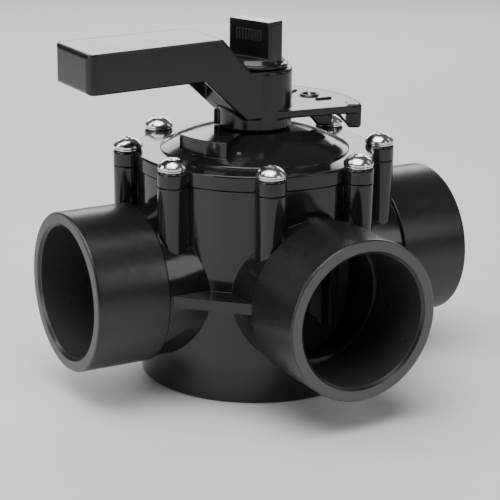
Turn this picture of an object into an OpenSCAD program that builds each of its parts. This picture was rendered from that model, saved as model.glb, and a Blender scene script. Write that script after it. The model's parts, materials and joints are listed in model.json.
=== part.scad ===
// Three port diverter valve: a moulded chamber with three pipe sockets at right angles,
// a screwed cover, a rotor that closes one port at a time, and a lever handle held by a knob.
// Millimetres. Origin: centre of the flat underside, on the stem axis. +Z up the stem.
// The closed port points along +X, its opposite port along -X, the branch port along -Y.

/* [Ports] */
// Outer diameter of the port sleeves, the outside size of 2 1/2 inch pipe
port_od = 73; // [71:0.5:74]
// Bore of the pipe sockets, for 2 inch pipe
socket_id = 60.4; // [59:0.1:62]
// Depth of each pipe socket down to its pipe stop
socket_depth = 38; // [35:1:40]
// Distance from the stem axis to each port face
port_reach = 97.5; // [96:0.5:104]
// Height of the port axes above the flat underside
port_h = 50.8; // [50:0.2:54]
// Length of the port sleeve, from its face back to the step on the neck
sleeve_len = 35.2; // [30:0.2:36]

/* [Chamber] */
// Height of the joint between body and cover
seam_h = 100; // [98:0.5:104]
// Outer radius of the chamber wall at the joint
wall_r_top = 55.5; // [55:0.1:56]
// Outer radius of the chamber wall at the underside
wall_r_bottom = 53.5; // [53:0.1:54.5]
// Bore radius of the chamber
chamber_r = 48.5; // [48:0.1:49]
// Thickness of the chamber floor
floor_t = 5; // [5:0.5:7]

/* [Cover] */
// Outer radius of the cover rim between its bosses
rim_r = 56; // [55.5:0.1:56.5]
// Thickness of the cover rim
rim_t = 7.3; // [6.5:0.1:8]
// Radius of the dome where it meets the rim
dome_r = 44; // [42:0.5:45]
// Height of the dome top above the joint
dome_h = 17; // [16.6:0.1:17]
// Pitch circle radius of the cover screws
screw_pitch_r = 58.8; // [58.4:0.1:59.4]
// Radius of the screw bosses
boss_r = 7; // [6.8:0.1:7.2]
// Radius of the screw heads
head_r = 6.8; // [6.2:0.1:6.9]

/* [Handle] */
// Reach of the lever tip from the stem axis
lever_reach = 92; // [90:0.5:94]
// Half width of the lever at its tip
lever_half_tip = 18.4; // [17.6:0.1:19]
// Half width of the lever at the hub
lever_half_hub = 16; // [15.5:0.1:16.4]
// Radius of the handle hub
hub_r = 17; // [16.8:0.1:17.4]
// Wall thickness of the hollow lever
lever_wall = 2.6; // [2:0.1:3]
// Outer radius of the fan shaped pointer plate
fan_r = 49.6; // [47:0.2:50]

/* [Knob] */
// Angle of the knob's grip about the stem axis when tight
grip_angle = -69; // [-90:1:-50]
// Length of the knob's grip
grip_len = 25; // [22:0.5:26]
// Thickness of the knob's grip
grip_t = 9.6; // [8:0.2:11]

/* [Hidden] */
$fn = 72;

port_angles = [180, 270, 0];
web_angles = [225, 315];
screw_angles = [for (i = [0:7]) 22.5 + 45 * i];

port_r = port_od / 2;
socket_r = socket_id / 2;
step_x = port_reach - sleeve_len;
stop_x = port_reach - socket_depth;
neck_r = port_r - 1.5;
neck_root_x = 30;
waterway_r = socket_r - 1;
face_round = 1.3;
step_round = 0.8;
lead_in = 1.5;
base_round = 1.5;
web_t = 4.8;
seam_gap = 0.5;
seam_depth = 0.9;
column_foot_h = 62;
column_foot_r = 6.6;

oring_r = 51.5;
oring_section = 1.35;
groove_half = 1.6;
groove_depth = 2 * oring_section;

insert_r = 4.3;
insert_top = seam_h - 0.8;
insert_len = 13;
screw_r = 3;
screw_hole_r = 3.3;
boss_cap_h = seam_h + rim_t + 0.3;
washer_t = 0.5;
head_h = 4.6;
screw_len = 25;

pivot_boss_r = 12;
pivot_boss_top = 9;
pivot_floor = 3.5;
bushing_r = 8;
pin_r = 5;
run_gap = 0.05;
press_gap = 0.02;

stem_r = 10.5;
stem_top_r = 7.9;
stem_flat = 6.4;
stem_shoulder = seam_h + 11;
stem_top = 137.5;
stem_bore_r = stem_r + 0.1;
neck_tube_r = 16;
tube_foot = seam_h - 4;
stem_bushing_r = 13;
stem_bushing_top = seam_h + 3;
lip_under = stem_shoulder + 1;
stem_oring_section = 0.95;
stem_groove_r = 8.6;
stem_oring_z = [seam_h + 5.4, seam_h + 8.6];

door_r = 46.3;
door_t = 4.8;
door_half = 45;
seal_r = chamber_r - 0.3;
seal_root_r = 44.8;
seal_half = 44;
seal_open_half = 39;
seal_half_h = 33.5;
seal_open_half_h = 30.5;
plate_t = 4;
rotor_foot = 10.1;
rotor_top = 92;
rotor_hub_r = 14;
hub_proud = 0.4;
door_rib_r = 37.5;
door_rib_half = 2.4;
door_rib_pitch = 22;

collar_foot = seam_h + 18.15;
hub_foot = 124.2;
hub_top = 145.6;
hub_round = 1.4;
tip_under = 143.4;
tip_foot_round = 1.5;
tip_head_round = 2;
tip_top = 161.2;
tip_corner = 3.8;
lever_stock = 40;
lever_stock_h = 70;
lever_stock_foot = 12;
bend_inset = 1.1;
heel_drop = 9;
grip_round = 1.5;
grip_rib_pitch = 1.7;
grip_rib_w = 0.7;
grip_rib_h = 5;
grip_rib_drop = 9;
grip_rib_proud = 0.3;
bend_top = [-26, 162.3];
bend_under = [-34.8, 144.2];
heel = [-13.3, hub_foot];
hub_meet_x = -10.8;
fan_under = 123.4;
fan_t = 3.4;
fan_front = -27;
fan_back = 57;
fan_overlap = 0.1;
fan_elbow = [40.5, -21.2];
fan_nose = [1.2, -0.5];
fan_nose_turn = 1.2;
fan_tail = 120;
lug_turn = 9;
lug_brace_t = 1.6;
mark_sink = 0.1;
mark_turn = 14;
mark_place = 35.5;
mark_ring_out_r = 4.6;
mark_ring_in_r = 3.4;
mark_h = 0.8;
bar_len = 8;
bar_w = 1.2;
dash_turn = 17;
dash_place = 32;
knob_rim_r = 1;
knob_foot_inset = 0.8;
knob_cone_inset = 1.6;
knob_cone_foot = 2.1;
knob_shoulder = [12.2, 4];
knob_crown = [11, 4.6];
recess_r = 11;
recess_foot = 143;
stud_hole_r = 4.6;
socket_top = 138;
stop_rib_angle = -11.5;
stop_rib_t = 3.5;
stop_rib_in_r = 30.5;
stop_rib_out_r = 37.5;
stop_rib_foot = seam_h + 15.7;
collar_lug_angle = 150;
collar_lug_r = 19;
collar_lug_w = 4.4;
collar_lug_top = hub_foot + 0.6;
stop_block_r = 39.6;
stop_block_top = seam_h + 17.8;

knob_foot = hub_top + 0.2;
knob_base_r = 15.2;
knob_pocket_r = knob_base_r + 0.5;
grip_top = 167.2;
stud_r = 4;
stud_foot = 126;
stud_head_foot = knob_foot + 1.2;
stud_head_t = 3;
stud_head_r = 6.5;
lock_washer_t = 1.2;
knob_washer_top = knob_foot - 0.05;

function arc(cx, cy, r, a0, a1, n = 5) =
    [for (i = [0:n]) let (a = a0 + (a1 - a0) * i / n) [cx + r * cos(a), cy + r * sin(a)]];

// Points of the convex arc of radius r from p to q, where the arc bulges to the left of q to p.
function bulge(p, q, r, n = 8) =
    let (m = (p + q) / 2, d = norm(q - p), h = sqrt(r * r - d * d / 4),
        c = m + h * [-(q - p)[1], (q - p)[0]] / d,
        a0 = atan2(p[1] - c[1], p[0] - c[0]), a1 = atan2(q[1] - c[1], q[0] - c[0]))
    arc(c[0], c[1], r, a0, a1, n);

module at_port(angle) {
    rotate([0, 0, angle]) translate([0, 0, port_h]) rotate([0, 90, 0]) children();
}

module at_screws() {
    for (a = screw_angles) rotate([0, 0, a]) translate([screw_pitch_r, 0, 0]) children();
}

module ring(r_out, r_in, z0, z1) {
    translate([0, 0, z0]) difference() {
        cylinder(h = z1 - z0, r = r_out);
        translate([0, 0, -1]) cylinder(h = z1 - z0 + 2, r = r_in);
    }
}

module torus(r, section) {
    rotate_extrude() translate([r, 0]) circle(r = section, $fn = 36);
}

// Wall between two radii and two heights, over plus and minus half degrees about +X.
module sector(r_out, r_in, half, z0, z1) {
    translate([0, 0, z0]) rotate([0, 0, -half])
        rotate_extrude(angle = 2 * half) translate([r_in, 0]) square([r_out - r_in, z1 - z0]);
}

// ---- body ----

module port_outside() {
    rotate_extrude() polygon(concat(
        [[0, neck_root_x], [neck_r, neck_root_x], [neck_r, step_x]],
        arc(port_r - step_round, step_x + step_round, step_round, -90, 0, 3),
        arc(port_r - face_round, port_reach - face_round, face_round, 0, 90),
        [[0, port_reach]]));
}

module port_inside() {
    cylinder(h = stop_x + 1, r = waterway_r);
    translate([0, 0, stop_x]) cylinder(h = socket_depth + 1, r = socket_r);
    translate([0, 0, port_reach - lead_in])
        cylinder(h = lead_in + 1, r1 = socket_r, r2 = socket_r + lead_in + 1);
}

module boss_column() {
    translate([0, 0, column_foot_h])
        cylinder(h = seam_h - column_foot_h, r1 = column_foot_r, r2 = boss_r);
}

module neck_web() {
    reach = step_x - 1;
    side = neck_r - 0.4;
    translate([0, 0, port_h - web_t / 2]) linear_extrude(web_t)
        polygon([[20, 20], [reach, 20], [reach, side], [side, reach], [20, reach]]);
}

module body_outside() {
    rotate_extrude() polygon(concat([[0, 0]],
        arc(wall_r_bottom - base_round, base_round, base_round, -90, 0),
        [[wall_r_top, seam_h], [0, seam_h]]));
    for (a = port_angles) at_port(a) port_outside();
    for (a = web_angles) rotate([0, 0, a - 45]) neck_web();
    at_screws() boss_column();
}

module valve_body() {
    color([0.03, 0.03, 0.035]) {
        difference() {
            body_outside();
            translate([0, 0, floor_t]) cylinder(h = seam_h, r = chamber_r);
            for (a = port_angles) at_port(a) port_inside();
            ring(oring_r + groove_half, oring_r - groove_half, seam_h - groove_depth, seam_h + 1);
            at_screws() translate([0, 0, insert_top - insert_len - 1])
                cylinder(h = insert_len + 10, r = insert_r);
            at_screws() translate([0, 0, column_foot_h + 16]) cylinder(h = 20, r = screw_hole_r);
            translate([0, 0, pivot_floor]) cylinder(h = floor_t, r = bushing_r);
        }
        ring(pivot_boss_r, bushing_r, pivot_floor, pivot_boss_top);
    }
}

module pivot_bushing() {
    color([0.85, 0.84, 0.8]) ring(bushing_r - press_gap, pin_r + run_gap, pivot_floor, pivot_boss_top);
}

module lower_thrust_washer() {
    color([0.9, 0.89, 0.86]) ring(pivot_boss_r - 1, pin_r + 0.3, pivot_boss_top, rotor_foot - 0.1);
}

module boss_inserts() {
    color([0.75, 0.6, 0.3]) at_screws()
        ring(insert_r - press_gap, screw_r + run_gap, insert_top - insert_len, insert_top);
}

// ---- cover ----

module rim_outside() {
    rotate_extrude() polygon(concat(
        [[0, seam_h], [rim_r - seam_depth, seam_h], [rim_r - seam_depth, seam_h + seam_gap],
            [rim_r, seam_h + seam_gap]],
        arc(rim_r - 1, seam_h + rim_t - 1, 1, 0, 90, 4), [[0, seam_h + rim_t]]));
}

module boss_cap() {
    rotate_extrude() polygon(concat(
        [[0, seam_h], [boss_r - seam_depth, seam_h], [boss_r - seam_depth, seam_h + seam_gap],
            [boss_r, seam_h + seam_gap]],
        arc(boss_r - 1.4, boss_cap_h - 1.4, 1.4, 0, 90, 4), [[0, boss_cap_h]]));
}

module dome() {
    foot = seam_h + rim_t;
    top = seam_h + dome_h;
    rotate_extrude() polygon(concat([[0, foot - 1], [dome_r, foot - 1], [dome_r, foot + 0.6]],
        bulge([dome_r - 0.5, foot + 1], [hub_r + 1.2, top], 75),
        [[hub_r + 0.6, top], [0, top]]));
}

module dome_hollow() {
    rotate_extrude() polygon([[neck_tube_r, tube_foot - 5], [dome_r - 4, tube_foot - 5],
        [dome_r - 4, seam_h + 2.5], [neck_tube_r + 2, seam_h + dome_h - 5.5],
        [neck_tube_r, seam_h + dome_h - 6]]);
}

// Block that the handle's stop rib meets at each end of its travel.
module stop_block() {
    foot = seam_h + rim_t - 1;
    outer = arc(0, 0, stop_block_r, 181, 222, 10);
    translate([0, 0, foot]) linear_extrude(stop_block_top - foot)
        polygon(concat(outer, [[-9, -8.1], [-9, 9.5], [-13.5, 9.5]]));
}

module index_fin() {
    rotate([0, 0, 229]) rotate([90, 0, 0]) translate([0, 0, -1]) linear_extrude(2)
        polygon(concat([[hub_r - 1, seam_h + 8], [hub_r - 1, seam_h + dome_h],
            [hub_r + 2, seam_h + dome_h]],
            arc(stop_block_r - 5.2, seam_h + 11.6, 1.6, 70, 0, 4),
            [[stop_block_r - 3.6, seam_h + 8]]));
}

module cover() {
    color([0.03, 0.03, 0.035]) difference() {
        union() {
            difference() {
                union() {
                    rim_outside();
                    dome();
                    stop_block();
                    index_fin();
                    translate([0, 0, seam_h - 3]) cylinder(h = 4, r = seal_r);
                }
                dome_hollow();
            }
            translate([0, 0, tube_foot]) cylinder(h = dome_h + 3, r = neck_tube_r + 0.5);
            at_screws() boss_cap();
        }
        at_screws() translate([0, 0, seam_h - 1]) cylinder(h = 20, r = screw_hole_r);
        translate([0, 0, tube_foot - 1]) cylinder(h = stem_bushing_top - tube_foot + 1, r = stem_bushing_r);
        translate([0, 0, tube_foot - 1]) cylinder(h = lip_under - tube_foot + 1, r = stem_bore_r);
        translate([0, 0, tube_foot - 1]) cylinder(h = 40, r = stem_top_r + 0.6);
    }
}

module cover_oring() {
    color([0.05, 0.05, 0.05]) translate([0, 0, seam_h - oring_section]) torus(oring_r, oring_section);
}

module stem_bushing() {
    color([0.85, 0.84, 0.8]) ring(stem_bushing_r - press_gap, stem_r + run_gap, tube_foot, stem_bushing_top);
}

module screw_washers() {
    color([0.8, 0.8, 0.8]) at_screws() ring(head_r - 0.3, screw_hole_r, boss_cap_h, boss_cap_h + washer_t);
}

module screw_head() {
    rotate_extrude() polygon(concat([[0, 0], [head_r - 0.4, 0], [head_r, 0.5], [head_r, 1.2]],
        bulge([head_r, 1.2], [2.6, head_h], 6.4), [[0, head_h]]));
}

// Cross recess: four tapered slots.
module cross_recess() {
    intersection() {
        union() {
            translate([-4, -0.7, -3]) cube([8, 1.4, 6]);
            translate([-0.7, -4, -3]) cube([1.4, 8, 6]);
        }
        translate([0, 0, -2.6]) cylinder(h = 3.4, r1 = 1, r2 = 3.6);
    }
}

module cover_screw() {
    difference() {
        screw_head();
        translate([0, 0, head_h]) rotate([0, 0, 20]) cross_recess();
    }
    translate([0, 0, -screw_len]) cylinder(h = screw_len + 1, r = screw_r);
}

module cover_screws() {
    color([0.8, 0.81, 0.83]) at_screws() translate([0, 0, boss_cap_h + washer_t]) cover_screw();
}

// ---- rotor ----

// Door and both plates as one section, turned through the door's angle.
module rotor_shell() {
    foot = rotor_foot + hub_proud;
    top = rotor_top - hub_proud;
    root = rotor_hub_r / 2;
    inside = door_r - door_t;
    rotate([0, 0, -door_half]) rotate_extrude(angle = 2 * door_half)
        polygon([[root, foot], [door_r, foot], [door_r, top], [root, top], [root, top - plate_t],
            [inside, top - plate_t], [inside, foot + plate_t], [root, foot + plate_t]]);
}

module rotor_hub(z0) {
    translate([0, 0, z0]) cylinder(h = plate_t + 2 * hub_proud, r = rotor_hub_r);
}

// Stiffening ribs on the door's hollow face, ending inside both plates.
module door_ribs() {
    out = door_r - door_t / 2;
    for (a = [-door_rib_pitch, 0, door_rib_pitch]) rotate([0, 0, a])
        sector(out, door_rib_r, door_rib_half, rotor_foot + 2, rotor_top - 2);
}

module rotor_stem() {
    translate([0, 0, rotor_top - plate_t]) cylinder(h = stem_shoulder - rotor_top + plate_t, r = stem_r);
    intersection() {
        translate([0, 0, stem_shoulder - 1]) cylinder(h = stem_top - stem_shoulder + 1, r = stem_top_r);
        translate([-20, -stem_flat, stem_shoulder - 1]) cube([40, 2 * stem_flat, 60]);
    }
}

module diverter() {
    color([0.05, 0.05, 0.055]) difference() {
        union() {
            rotor_shell();
            rotor_hub(rotor_foot);
            rotor_hub(rotor_top - plate_t - 2 * hub_proud);
            door_ribs();
            rotor_stem();
            translate([0, 0, pivot_floor + 0.5]) cylinder(h = rotor_foot - pivot_floor, r = pin_r);
        }
        seal_band(0.02);
        for (z = stem_oring_z) ring(stem_r + 1, stem_groove_r, z - 1.1, z + 1.1);
        translate([0, 0, stem_top - insert_len]) cylinder(h = insert_len + 1, r = stud_r + 1.6);
        translate([0, 0, stud_foot - 4]) cylinder(h = 20, r = stud_r + 0.3);
    }
}

// Rectangular gasket bent to the chamber's curve, around the port opening.
module seal_band(grow) {
    difference() {
        sector(seal_r, seal_root_r - grow, seal_half + grow, port_h - seal_half_h - grow,
            port_h + seal_half_h + grow);
        sector(seal_r + 1, seal_root_r - 1, seal_open_half - grow,
            port_h - seal_open_half_h + grow, port_h + seal_open_half_h - grow);
    }
}

module diverter_seal() {
    color([0.08, 0.08, 0.085]) seal_band(0);
}

module upper_thrust_washer() {
    color([0.9, 0.89, 0.86]) ring(stem_r - 0.1, stem_top_r + 0.3, stem_shoulder, stem_shoulder + 0.9);
}

module stem_oring(z) {
    color([0.05, 0.05, 0.05]) translate([0, 0, z]) torus(stem_groove_r + stem_oring_section + 0.02,
        stem_oring_section);
}

module stem_insert() {
    color([0.75, 0.6, 0.3])
        ring(stud_r + 1.6 - press_gap, stud_r + run_gap, stem_top - insert_len, stem_top);
}

// ---- handle ----

module lever_side_outside() {
    polygon(concat(
        arc(-lever_reach + tip_foot_round, tip_under + tip_foot_round, tip_foot_round, 270, 180, 4),
        arc(-lever_reach + tip_head_round, tip_top - tip_head_round, tip_head_round, 180, 90, 4),
        [bend_top, [hub_meet_x, hub_top], [0, hub_top], [0, hub_foot], heel, bend_under]));
}

// The hollow stops one wall short of the knob's clearance pocket.
module lever_side_inside() {
    t = lever_wall;
    slope = (bend_top[1] - hub_top) / (hub_meet_x - bend_top[0]);
    near = -knob_pocket_r - t;
    near_top = hub_top + slope * (hub_meet_x - near) - t * sqrt(1 + slope * slope);
    polygon([[-lever_reach + t, hub_foot - heel_drop], [-lever_reach + t, tip_top - t],
        [bend_top[0] - bend_inset, bend_top[1] - t], [near, near_top], [near, hub_foot - heel_drop]]);
}

module lever_plan(inset) {
    tip = lever_half_tip - inset;
    hub = lever_half_hub - inset;
    end = lever_reach - inset;
    corner = tip_corner - inset;
    polygon(concat([[1, -hub], [1, hub]],
        arc(-end + corner, tip - corner, corner, 90, 180),
        arc(-end + corner, -tip + corner, corner, 180, 270)));
}

module lever_shell() {
    difference() {
        intersection() {
            rotate([90, 0, 0]) translate([0, 0, -lever_stock / 2]) linear_extrude(lever_stock)
                lever_side_outside();
            translate([0, 0, hub_foot - lever_stock_foot]) linear_extrude(lever_stock_h) lever_plan(0);
        }
        intersection() {
            rotate([90, 0, 0]) translate([0, 0, -lever_stock / 2]) linear_extrude(lever_stock)
                lever_side_inside();
            translate([0, 0, hub_foot - lever_stock_foot]) linear_extrude(lever_stock_h)
                lever_plan(lever_wall);
        }
    }
}

module hub() {
    rotate_extrude() polygon(concat([[0, collar_foot], [hub_r - 0.4, collar_foot],
        [hub_r, collar_foot + 0.4]],
        arc(hub_r - hub_round, hub_top - hub_round, hub_round, 0, 90), [[0, hub_top]]));
}

module fan() {
    front = [fan_r * cos(fan_front), fan_r * sin(fan_front)];
    translate([0, 0, fan_under]) linear_extrude(fan_t)
        polygon(concat([[0, 0], [0, -hub_r + fan_overlap], fan_elbow, front - fan_nose],
            arc(0, 0, fan_r, fan_front + fan_nose_turn, fan_back, 16),
            [[hub_r * cos(fan_tail), hub_r * sin(fan_tail)]]));
}

// Pointer lug at the fan's leading corner, with a pierced brace below the plate.
module pointer_lug() {
    lug_foot = seam_h + 16.3;
    lug_r = fan_r - 0.2;
    translate([0, 0, lug_foot]) rotate([0, 0, fan_front]) rotate_extrude(angle = lug_turn)
        polygon(concat([[lug_r - 6.4, 11.1], [lug_r - 6.4, 1.2]],
            arc(lug_r - 5.2, 1.2, 1.2, 180, 270, 3), arc(lug_r - 1.6, 1.6, 1.6, -90, 0, 3),
            arc(lug_r - 1.2, 9.9, 1.2, 0, 90, 3)));
    difference() {
        rotate([0, 0, fan_front]) rotate([90, 0, 0]) translate([0, 0, -lug_brace_t])
            linear_extrude(lug_brace_t)
            polygon([[lug_r - 13.5, fan_under + 0.2], [lug_r - 9.4, fan_under - 2.9],
                [lug_r - 6, lug_foot + 0.8], [lug_r - 5, fan_under + 0.2]]);
        rotate([0, 0, fan_front]) rotate([90, 0, 0]) translate([0, 0, -5]) linear_extrude(10)
            polygon([[lug_r - 9.6, fan_under - 0.7], [lug_r - 6.9, fan_under - 4.2],
                [lug_r - 6.9, fan_under - 0.7]]);
    }
}

module stop_rib() {
    sweep = bulge([stop_rib_in_r, stop_rib_foot + 0.2], [23.5, fan_under - 1.4], 18, 4);
    rotate([0, 0, stop_rib_angle]) rotate([90, 0, 0])
        translate([0, 0, -stop_rib_t / 2]) linear_extrude(stop_rib_t)
        polygon(concat([[stop_rib_out_r, fan_under + 0.5], [hub_r - 1, fan_under + 0.5]],
            [[hub_r + 4, fan_under - 0.3]],
            [for (i = [4:-1:0]) sweep[i]],
            arc(stop_rib_out_r - 1.2, stop_rib_foot + 1.2, 1.2, -90, 0, 3)));
}

// Narrow lug down the back of the collar.
module collar_lug() {
    rotate([0, 0, collar_lug_angle]) translate([hub_r - 2, -collar_lug_w / 2, collar_foot + 0.2])
        cube([collar_lug_r - hub_r + 2, collar_lug_w, collar_lug_top - collar_foot - 0.2]);
}

// Raised closed-port mark on the fan: a ring crossed by a bar, between two dashes.
module closed_mark() {
    translate([0, 0, fan_under + fan_t - mark_sink]) rotate([0, 0, mark_turn]) {
        translate([mark_place, 0, 0]) {
            ring(mark_ring_out_r, mark_ring_in_r, 0, mark_h);
            rotate([0, 0, 45]) translate([-bar_len / 2, -bar_w / 2, 0])
                cube([bar_len, bar_w, mark_h]);
        }
        for (s = [-1, 1]) rotate([0, 0, dash_turn * s]) translate([dash_place, -bar_w / 2, 0])
            cube([bar_len, bar_w, mark_h]);
    }
}

module handle() {
    color([0.035, 0.035, 0.04]) difference() {
        union() {
            lever_shell();
            hub();
            fan();
            pointer_lug();
            stop_rib();
            collar_lug();
            closed_mark();
        }
        translate([0, 0, collar_foot - 1]) cylinder(h = 4, r = hub_r - 3);
        intersection() {
            translate([0, 0, collar_foot - 1])
                cylinder(h = socket_top - collar_foot + 1, r = stem_top_r + run_gap);
            translate([-20, -stem_flat - run_gap, collar_foot - 1])
                cube([40, 2 * (stem_flat + run_gap), 60]);
        }
        translate([0, 0, socket_top - 1]) cylinder(h = 20, r = stud_hole_r);
        translate([0, 0, recess_foot]) cylinder(h = 10, r = recess_r);
        translate([0, 0, hub_top]) cylinder(h = grip_top - hub_top, r = knob_pocket_r);
    }
}

module knob_lock_washer() {
    color([0.7, 0.71, 0.73]) ring(stud_r + 3.4, stud_r + 0.4, recess_foot, recess_foot + lock_washer_t);
}

module knob_washer() {
    color([0.8, 0.81, 0.83])
        ring(recess_r - 0.6, stud_r + 0.35, recess_foot + lock_washer_t + 0.05, knob_washer_top);
}

// ---- knob ----

module grip() {
    half = grip_len / 2;
    side = grip_t / 2;
    rotate([0, 0, grip_angle]) intersection() {
        translate([0, 0, knob_foot + 1]) linear_extrude(40) polygon(concat(
            arc(half - grip_round, side - grip_round, grip_round, 0, 90, 4),
            arc(-half + grip_round, side - grip_round, grip_round, 90, 180, 4),
            arc(-half + grip_round, -side + grip_round, grip_round, 180, 270, 4),
            arc(half - grip_round, -side + grip_round, grip_round, 270, 360, 4)));
        rotate([90, 0, 0]) translate([0, 0, -10]) linear_extrude(20) polygon(concat(
            [[-half - 1, knob_foot], [half + 1, knob_foot]],
            arc(half - grip_round, grip_top - grip_round, grip_round, 0, 90, 4),
            arc(-half + grip_round, grip_top - grip_round, grip_round, 90, 180, 4)));
    }
}

module grip_ribs() {
    rotate([0, 0, grip_angle]) for (i = [-4:4])
        translate([grip_rib_pitch * i - grip_rib_w / 2,
            -grip_t / 2 - grip_rib_proud, grip_top - grip_rib_drop])
            cube([grip_rib_w, grip_t + 2 * grip_rib_proud, grip_rib_h]);
}

module knob_base() {
    crown_z = knob_foot + knob_crown[1];
    rotate_extrude() polygon(concat([[0, knob_foot], [knob_base_r - knob_foot_inset, knob_foot]],
        arc(knob_base_r - knob_rim_r, knob_foot + knob_rim_r, knob_rim_r, -70, 70, 5),
        [[knob_base_r - knob_cone_inset, knob_foot + knob_cone_foot],
            [knob_shoulder[0], knob_foot + knob_shoulder[1]], [knob_crown[0], crown_z], [0, crown_z]]));
}

module lock_knob() {
    color([0.03, 0.03, 0.035]) difference() {
        union() {
            knob_base();
            grip();
            grip_ribs();
        }
        translate([0, 0, knob_foot - 1])
            cylinder(h = stud_head_foot - knob_foot + 1.5, r = stud_r + press_gap);
        translate([0, 0, stud_head_foot])
            cylinder(h = stud_head_t, r = stud_head_r + press_gap, $fn = 6);
    }
}

module knob_stud() {
    color([0.8, 0.81, 0.83]) {
        translate([0, 0, stud_foot]) cylinder(h = stud_head_foot - stud_foot + 0.5, r = stud_r);
        translate([0, 0, stud_head_foot + press_gap])
            cylinder(h = stud_head_t - 2 * press_gap, r = stud_head_r - 0.1, $fn = 6);
    }
}

valve_body();
cover();
cover_oring();
cover_screws();
screw_washers();
boss_inserts();
diverter();
diverter_seal();
pivot_bushing();
lower_thrust_washer();
stem_bushing();
upper_thrust_washer();
stem_oring(stem_oring_z[0]);  // stem_oring_lower
stem_oring(stem_oring_z[1]);  // stem_oring_upper
stem_insert();
handle();
knob_lock_washer();
knob_washer();
lock_knob();
knob_stud();
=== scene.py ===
import json
import math

import bpy
from mathutils import Matrix, Vector


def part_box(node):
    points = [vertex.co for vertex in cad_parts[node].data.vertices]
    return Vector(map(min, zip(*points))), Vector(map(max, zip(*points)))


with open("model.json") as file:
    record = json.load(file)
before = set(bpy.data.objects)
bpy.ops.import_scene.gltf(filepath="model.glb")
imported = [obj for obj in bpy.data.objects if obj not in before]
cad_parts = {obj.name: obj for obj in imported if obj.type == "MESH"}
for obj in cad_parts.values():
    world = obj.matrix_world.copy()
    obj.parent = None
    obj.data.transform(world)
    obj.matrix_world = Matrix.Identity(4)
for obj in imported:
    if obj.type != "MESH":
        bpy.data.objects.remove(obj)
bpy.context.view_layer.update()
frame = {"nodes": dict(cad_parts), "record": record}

# Black moulded plastic three way valve. Metres, in the row frame: +Z up the stem, +X to the closed
# port, -Y out of the branch port.

MM = 0.001
PORT_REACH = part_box("valve_body")[1].x
PORT_HEIGHT = 50.8 * MM
SLEEVE_LENGTH = 35.2 * MM
BORE_RADIUS = 30.2 * MM
CHAMBER_REACH = 47.0 * MM
RING_PITCH = 0.7 * MM
SLEEVE_BLEND = 0.3 * MM
FACE_FROM, FACE_FULL = 0.35 * MM, 0.15 * MM
BORE_INNER, BORE_OUTER = 0.2 * MM, 0.4 * MM
CHAMBER_BLEND = 1.0 * MM
NOISE_LOW, NOISE_HIGH = 0.3, 0.7

CAMERA_AZIMUTH = math.radians(-29.494)
CAMERA_ELEVATION = math.radians(16.977)
CAMERA_ROLL = math.radians(0.5155)
CAMERA_DISTANCE = 0.8576
CAMERA_LENS = 130.0
AIM_RIGHT = -1.74 * MM
AIM_UP = 5.82 * MM

EDGE_RADIUS = 0.45 * MM
EDGE_SAMPLES = 8
LEVER_EDGE = 1.4 * MM
METAL_EDGE = 0.15 * MM
FLOW_CLOUD = 22 * MM
CLOUD_DARK, CLOUD_LIGHT = 0.8, 1.25
SCUFF_SIZE = 5 * MM
PLASTIC_IOR = 1.5
FACE_ROUGHNESS = 0.5
METAL_DULL = 0.82
WORLD_GLOW = 0.1
FLOOR_HALF = 6.0
FLOOR_GREY, FLOOR_ROUGHNESS = 0.9, 0.6
LIGHT_AIM = 0.08
SENSOR_WIDTH = 36.0


# ---- material nodes ----

class Tree:
    """A material's node tree, with short calls for the nodes used below."""

    def __init__(self, name):
        self.material = bpy.data.materials.new(name)
        self.material.use_nodes = True
        self.nodes = self.material.node_tree.nodes
        self.links = self.material.node_tree.links
        self.shader = self.nodes["Principled BSDF"]
        self.place = self.node("ShaderNodeTexCoord").outputs["Object"]

    def node(self, kind, **settings):
        made = self.nodes.new(kind)
        for key, value in settings.items():
            setattr(made, key, value)
        return made

    def link(self, source, target):
        self.links.new(source, target)

    def noise(self, size, detail=2.0, stretch=(1, 1, 1)):
        """Noise whose features are about size metres wide."""
        squeeze = self.node("ShaderNodeVectorMath", operation="MULTIPLY")
        squeeze.inputs[1].default_value = stretch
        self.link(self.place, squeeze.inputs[0])
        made = self.node("ShaderNodeTexNoise")
        made.inputs["Scale"].default_value = 1 / size
        made.inputs["Detail"].default_value = detail
        self.link(squeeze.outputs[0], made.inputs["Vector"])
        return made.outputs["Fac"]

    def span(self, value, low, high, out_low, out_high):
        """value mapped from low..high to out_low..out_high, clamped."""
        made = self.node("ShaderNodeMapRange")
        for socket, number in zip(("From Min", "From Max", "To Min", "To Max"),
                                  (low, high, out_low, out_high)):
            made.inputs[socket].default_value = number
        self.link(value, made.inputs["Value"])
        return made.outputs["Result"]

    def sum(self, operation, first, second):
        made = self.node("ShaderNodeMath", operation=operation)
        for socket, value in zip(made.inputs, (first, second)):
            if isinstance(value, (int, float)):
                socket.default_value = value
            else:
                self.link(value, socket)
        return made.outputs[0]

    def blend(self, share, first, second):
        """Colour between first and second; either may be a colour or a socket."""
        made = self.node("ShaderNodeMix", data_type="RGBA")
        self.link(share, made.inputs["Factor"])
        for socket, value in ((made.inputs[6], first), (made.inputs[7], second)):
            if isinstance(value, tuple):
                socket.default_value = (*value, 1)
            else:
                self.link(value, socket)
        return made.outputs[2]

    def bump(self, height, depth, strength=1.0, edge=EDGE_RADIUS):
        """Surface relief on edges rounded to a radius of edge, as a mould leaves them."""
        rounded = self.node("ShaderNodeBevel", samples=EDGE_SAMPLES)
        rounded.inputs["Radius"].default_value = edge
        made = self.node("ShaderNodeBump")
        self.link(rounded.outputs["Normal"], made.inputs["Normal"])
        made.inputs["Distance"].default_value = depth
        made.inputs["Strength"].default_value = strength
        self.link(height, made.inputs["Height"])
        self.link(made.outputs["Normal"], self.shader.inputs["Normal"])


def shade(grey, tint=1.06):
    """A neutral colour, a little cooler in blue."""
    return (grey, grey, grey * tint)


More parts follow.
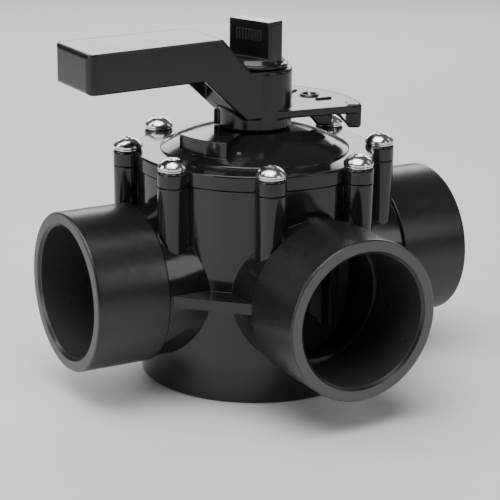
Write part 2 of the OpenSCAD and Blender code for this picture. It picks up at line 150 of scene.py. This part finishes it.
def moulded(name, grey, roughness, swing, edge=EDGE_RADIUS, grain=0.35 * MM, depth=0.006 * MM):
    """Injection moulded plastic: faint flow clouds in colour, uneven gloss and a fine moulded grain."""
    tree = Tree(name)
    clouds = tree.noise(FLOW_CLOUD, 3)
    colour = tree.blend(clouds, shade(grey * CLOUD_DARK), shade(grey * CLOUD_LIGHT))
    tree.link(colour, tree.shader.inputs["Base Color"])
    scuffs = tree.noise(SCUFF_SIZE, 4, (1, 1, 2.5))
    rough = tree.span(scuffs, NOISE_LOW, NOISE_HIGH, roughness - swing, roughness + swing)
    tree.link(rough, tree.shader.inputs["Roughness"])
    tree.shader.inputs["IOR"].default_value = PLASTIC_IOR
    tree.bump(tree.noise(grain, 1), depth, edge=edge)
    tree.rough = rough
    return tree


def along_ports(tree):
    """How far a point lies out along the nearest port, in metres."""
    parts = tree.node("ShaderNodeSeparateXYZ")
    tree.link(tree.place, parts.inputs[0])
    run = tree.sum("ABSOLUTE", parts.outputs["X"], 0.0)
    branch = tree.sum("MULTIPLY", parts.outputs["Y"], -1.0)
    return tree.sum("MAXIMUM", run, branch)


def port_radius(tree):
    """How far a point lies from the axis of the nearest port, in metres."""
    parts = tree.node("ShaderNodeSeparateXYZ")
    tree.link(tree.place, parts.inputs[0])
    across = tree.sum("MINIMUM", tree.sum("ABSOLUTE", parts.outputs["X"], 0.0),
                      tree.sum("ABSOLUTE", parts.outputs["Y"], 0.0))
    above = tree.sum("SUBTRACT", parts.outputs["Z"], PORT_HEIGHT)
    return tree.sum("SQRT", tree.sum("ADD", tree.sum("MULTIPLY", across, across),
                                     tree.sum("MULTIPLY", above, above)), 0.0)


def in_bore(tree, radius):
    """1 inside the pipe sockets, 0 outside them: where the painted bore light goes."""
    round_bore = tree.span(radius, BORE_RADIUS + BORE_INNER, BORE_RADIUS + BORE_OUTER, 1, 0)
    past_chamber = tree.span(along_ports(tree), CHAMBER_REACH, CHAMBER_REACH + CHAMBER_BLEND, 0, 1)
    return tree.sum("MULTIPLY", round_bore, past_chamber)


def body_plastic():
    """Glossy necks and chamber, satin sleeves, turned grey port faces, and socket walls painted paler
    than the black plastic as painted light falling into the bores.
    """
    tree = moulded("valve_body_plastic", 0.010, 0.12, 0.03)
    out = along_ports(tree)
    neck_end = PORT_REACH - SLEEVE_LENGTH
    sleeve = tree.span(out, neck_end - SLEEVE_BLEND, neck_end, 0, 1)
    face = tree.span(out, PORT_REACH - FACE_FROM, PORT_REACH - FACE_FULL, 0, 1)
    satin = tree.span(tree.noise(4 * MM, 3), NOISE_LOW, NOISE_HIGH, 0.27, 0.35)
    rough = tree.node("ShaderNodeMix", data_type="FLOAT")
    tree.link(sleeve, rough.inputs["Factor"])
    tree.link(tree.rough, rough.inputs[2])
    tree.link(satin, rough.inputs[3])
    matte = tree.node("ShaderNodeMix", data_type="FLOAT")
    tree.link(face, matte.inputs["Factor"])
    tree.link(rough.outputs[0], matte.inputs[2])
    matte.inputs[3].default_value = FACE_ROUGHNESS
    tree.link(matte.outputs[0], tree.shader.inputs["Roughness"])
    black = tree.blend(tree.noise(FLOW_CLOUD, 3), shade(0.009), shade(0.014))
    radius = port_radius(tree)
    turned = tree.node("ShaderNodeCombineXYZ")
    tree.link(radius, turned.inputs[0])
    rings = tree.node("ShaderNodeTexNoise")
    rings.inputs["Scale"].default_value = 1 / RING_PITCH
    tree.link(turned.outputs[0], rings.inputs["Vector"])
    grey = tree.blend(rings.outputs["Fac"], shade(0.045), shade(0.12))
    # Painted light: the socket walls are painted paler than the black body to stand for light falling
    # into the bores.
    socket = tree.blend(tree.noise(6 * MM, 3), shade(0.03), shade(0.045))
    walls_with_painted_bore_light = tree.blend(in_bore(tree, radius), black, socket)
    tree.link(tree.blend(face, walls_with_painted_bore_light, grey), tree.shader.inputs["Base Color"])
    return tree.material


def metal(name, colour, roughness, swing, scratch=0.8 * MM):
    """Bright metal with fine turning marks and patchy polish."""
    tree = Tree(name)
    dull = tuple(c * METAL_DULL for c in colour)
    tree.link(tree.blend(tree.noise(2.5 * MM, 3), dull, colour), tree.shader.inputs["Base Color"])
    tree.shader.inputs["Metallic"].default_value = 1.0
    rough = tree.span(tree.noise(scratch, 4), NOISE_LOW, NOISE_HIGH, roughness - swing, roughness + swing)
    tree.link(rough, tree.shader.inputs["Roughness"])
    tree.bump(tree.noise(0.25 * MM, 2, (1, 1, 8)), 0.004 * MM, edge=METAL_EDGE)
    return tree.material


def rubber():
    """Greased black rubber with a soft uneven shine."""
    tree = moulded("seal_rubber", 0.014, 0.48, 0.08, grain=0.6 * MM, depth=0.01 * MM)
    return tree.material


def acetal():
    """Natural off-white bearing plastic."""
    tree = Tree("bearing_acetal")
    light, dark = (0.78, 0.77, 0.72), (0.68, 0.67, 0.62)
    tree.link(tree.blend(tree.noise(6 * MM, 3), dark, light), tree.shader.inputs["Base Color"])
    rough = tree.span(tree.noise(2 * MM, 3), NOISE_LOW, NOISE_HIGH, 0.35, 0.5)
    tree.link(rough, tree.shader.inputs["Roughness"])
    tree.shader.inputs["Subsurface Weight"].default_value = 0.1
    tree.shader.inputs["Subsurface Scale"].default_value = 1.5 * MM
    tree.bump(tree.noise(0.4 * MM, 2), 0.008 * MM)
    return tree.material


def make_materials():
    """One finished material for each slot of the record."""
    return {
        "body_plastic": body_plastic(),
        "cover_plastic": moulded("cover_gloss", 0.010, 0.13, 0.035).material,
        "handle_plastic": moulded("handle_satin", 0.008, 0.2, 0.02, edge=LEVER_EDGE).material,
        "knob_plastic": moulded("knob_gloss", 0.010, 0.16, 0.04).material,
        "rotor_plastic": moulded("rotor_matte", 0.07, 0.34, 0.06).material,
        "bearing_plastic": acetal(),
        "rubber": rubber(),
        "screw_steel": metal("screw_bright", (0.86, 0.87, 0.89), 0.17, 0.06),
        "brass": metal("insert_brass", (0.80, 0.58, 0.26), 0.26, 0.06),
    }


# ---- CAD nodes ----

def dress_nodes():
    """Gives each CAD node its finished material."""
    made = make_materials()
    for part in frame["record"]["subparts"]:
        node = frame["nodes"][part["node"]]
        node.data.materials.clear()
        node.data.materials.append(made[part["material_slot"]])


# ---- stage ----

def plain_surface(name, grey, roughness):
    tree = Tree(name)
    near, far = (grey * 0.98,) * 3, (grey,) * 3
    tree.link(tree.blend(tree.noise(0.3, 2), near, far), tree.shader.inputs["Base Color"])
    tree.shader.inputs["Roughness"].default_value = roughness
    return tree.material


def make_floor():
    """A wide pale floor under the valve's flat underside."""
    half = FLOOR_HALF
    mesh = bpy.data.meshes.new("floor")
    corners = [(-half, -half, 0), (half, -half, 0), (half, half, 0), (-half, half, 0)]
    mesh.from_pydata(corners, [], [(0, 1, 2, 3)])
    floor = bpy.data.objects.new("floor", mesh)
    floor.data.materials.append(plain_surface("pale_floor", FLOOR_GREY, FLOOR_ROUGHNESS))
    bpy.context.scene.collection.objects.link(floor)


def softbox(name, azimuth, elevation, distance, width, height, glow):
    """A rectangular area light round the valve, azimuth as the camera's; glow is its brightness."""
    a, e = math.radians(azimuth), math.radians(elevation)
    middle = Vector((0, 0, LIGHT_AIM))
    side = Vector((math.sin(a) * math.cos(e), -math.cos(a) * math.cos(e), math.sin(e)))
    data = bpy.data.lights.new(name, "AREA")
    data.shape = "RECTANGLE"
    data.size, data.size_y = width, height
    data.energy = glow * math.pi * width * height
    lamp = bpy.data.objects.new(name, data)
    lamp.location = middle + distance * side
    lamp.rotation_mode = "QUATERNION"
    lamp.rotation_quaternion = (-side).to_track_quat("-Z", "Y")
    bpy.context.scene.collection.objects.link(lamp)


def make_lights():
    """Soft studio light: dim surroundings, overhead and back panels, side boxes and strips."""
    world = bpy.data.worlds.new("studio")
    bpy.context.scene.world = world
    world.use_nodes = True
    world.node_tree.nodes["Background"].inputs["Color"].default_value = (1, 1, 1, 1)
    world.node_tree.nodes["Background"].inputs["Strength"].default_value = WORLD_GLOW
    softbox("overhead", -50, 74, 1.2, 1.1, 0.9, 5.2)
    softbox("back_panel", 150, 20, 1.2, 1.5, 0.42, 3.6)
    softbox("front_box", 30, 24, 1.1, 0.34, 0.5, 2.6)
    softbox("left_strip", -125, 42, 1.0, 0.14, 0.7, 7.0)
    softbox("right_strip", 75, 25, 1.0, 0.1, 0.6, 2.0)
    softbox("left_box", -82, 16, 1.2, 0.6, 0.5, 4.0)


def make_camera():
    """The photograph's viewpoint: a long lens, a little above the ports."""
    a, e = CAMERA_AZIMUTH, CAMERA_ELEVATION
    back = Vector((math.sin(a) * math.cos(e), -math.cos(a) * math.cos(e), math.sin(e)))
    right = Vector((math.cos(a), math.sin(a), 0))
    up = back.cross(right)
    target = Vector((0, 0, PORT_HEIGHT)) + AIM_RIGHT * right + AIM_UP * up
    place = target + CAMERA_DISTANCE * back
    c, s = math.cos(CAMERA_ROLL), math.sin(CAMERA_ROLL)
    tilted_right, tilted_up = right * c + up * s, up * c - right * s
    data = bpy.data.cameras.new("camera")
    data.lens = CAMERA_LENS
    data.sensor_width = SENSOR_WIDTH
    camera = bpy.data.objects.new("camera", data)
    turn = Matrix((tilted_right, tilted_up, back)).transposed().to_4x4()
    camera.matrix_world = Matrix.Translation(place) @ turn
    bpy.context.scene.collection.objects.link(camera)
    bpy.context.scene.camera = camera


dress_nodes()
make_floor()
make_lights()
make_camera()
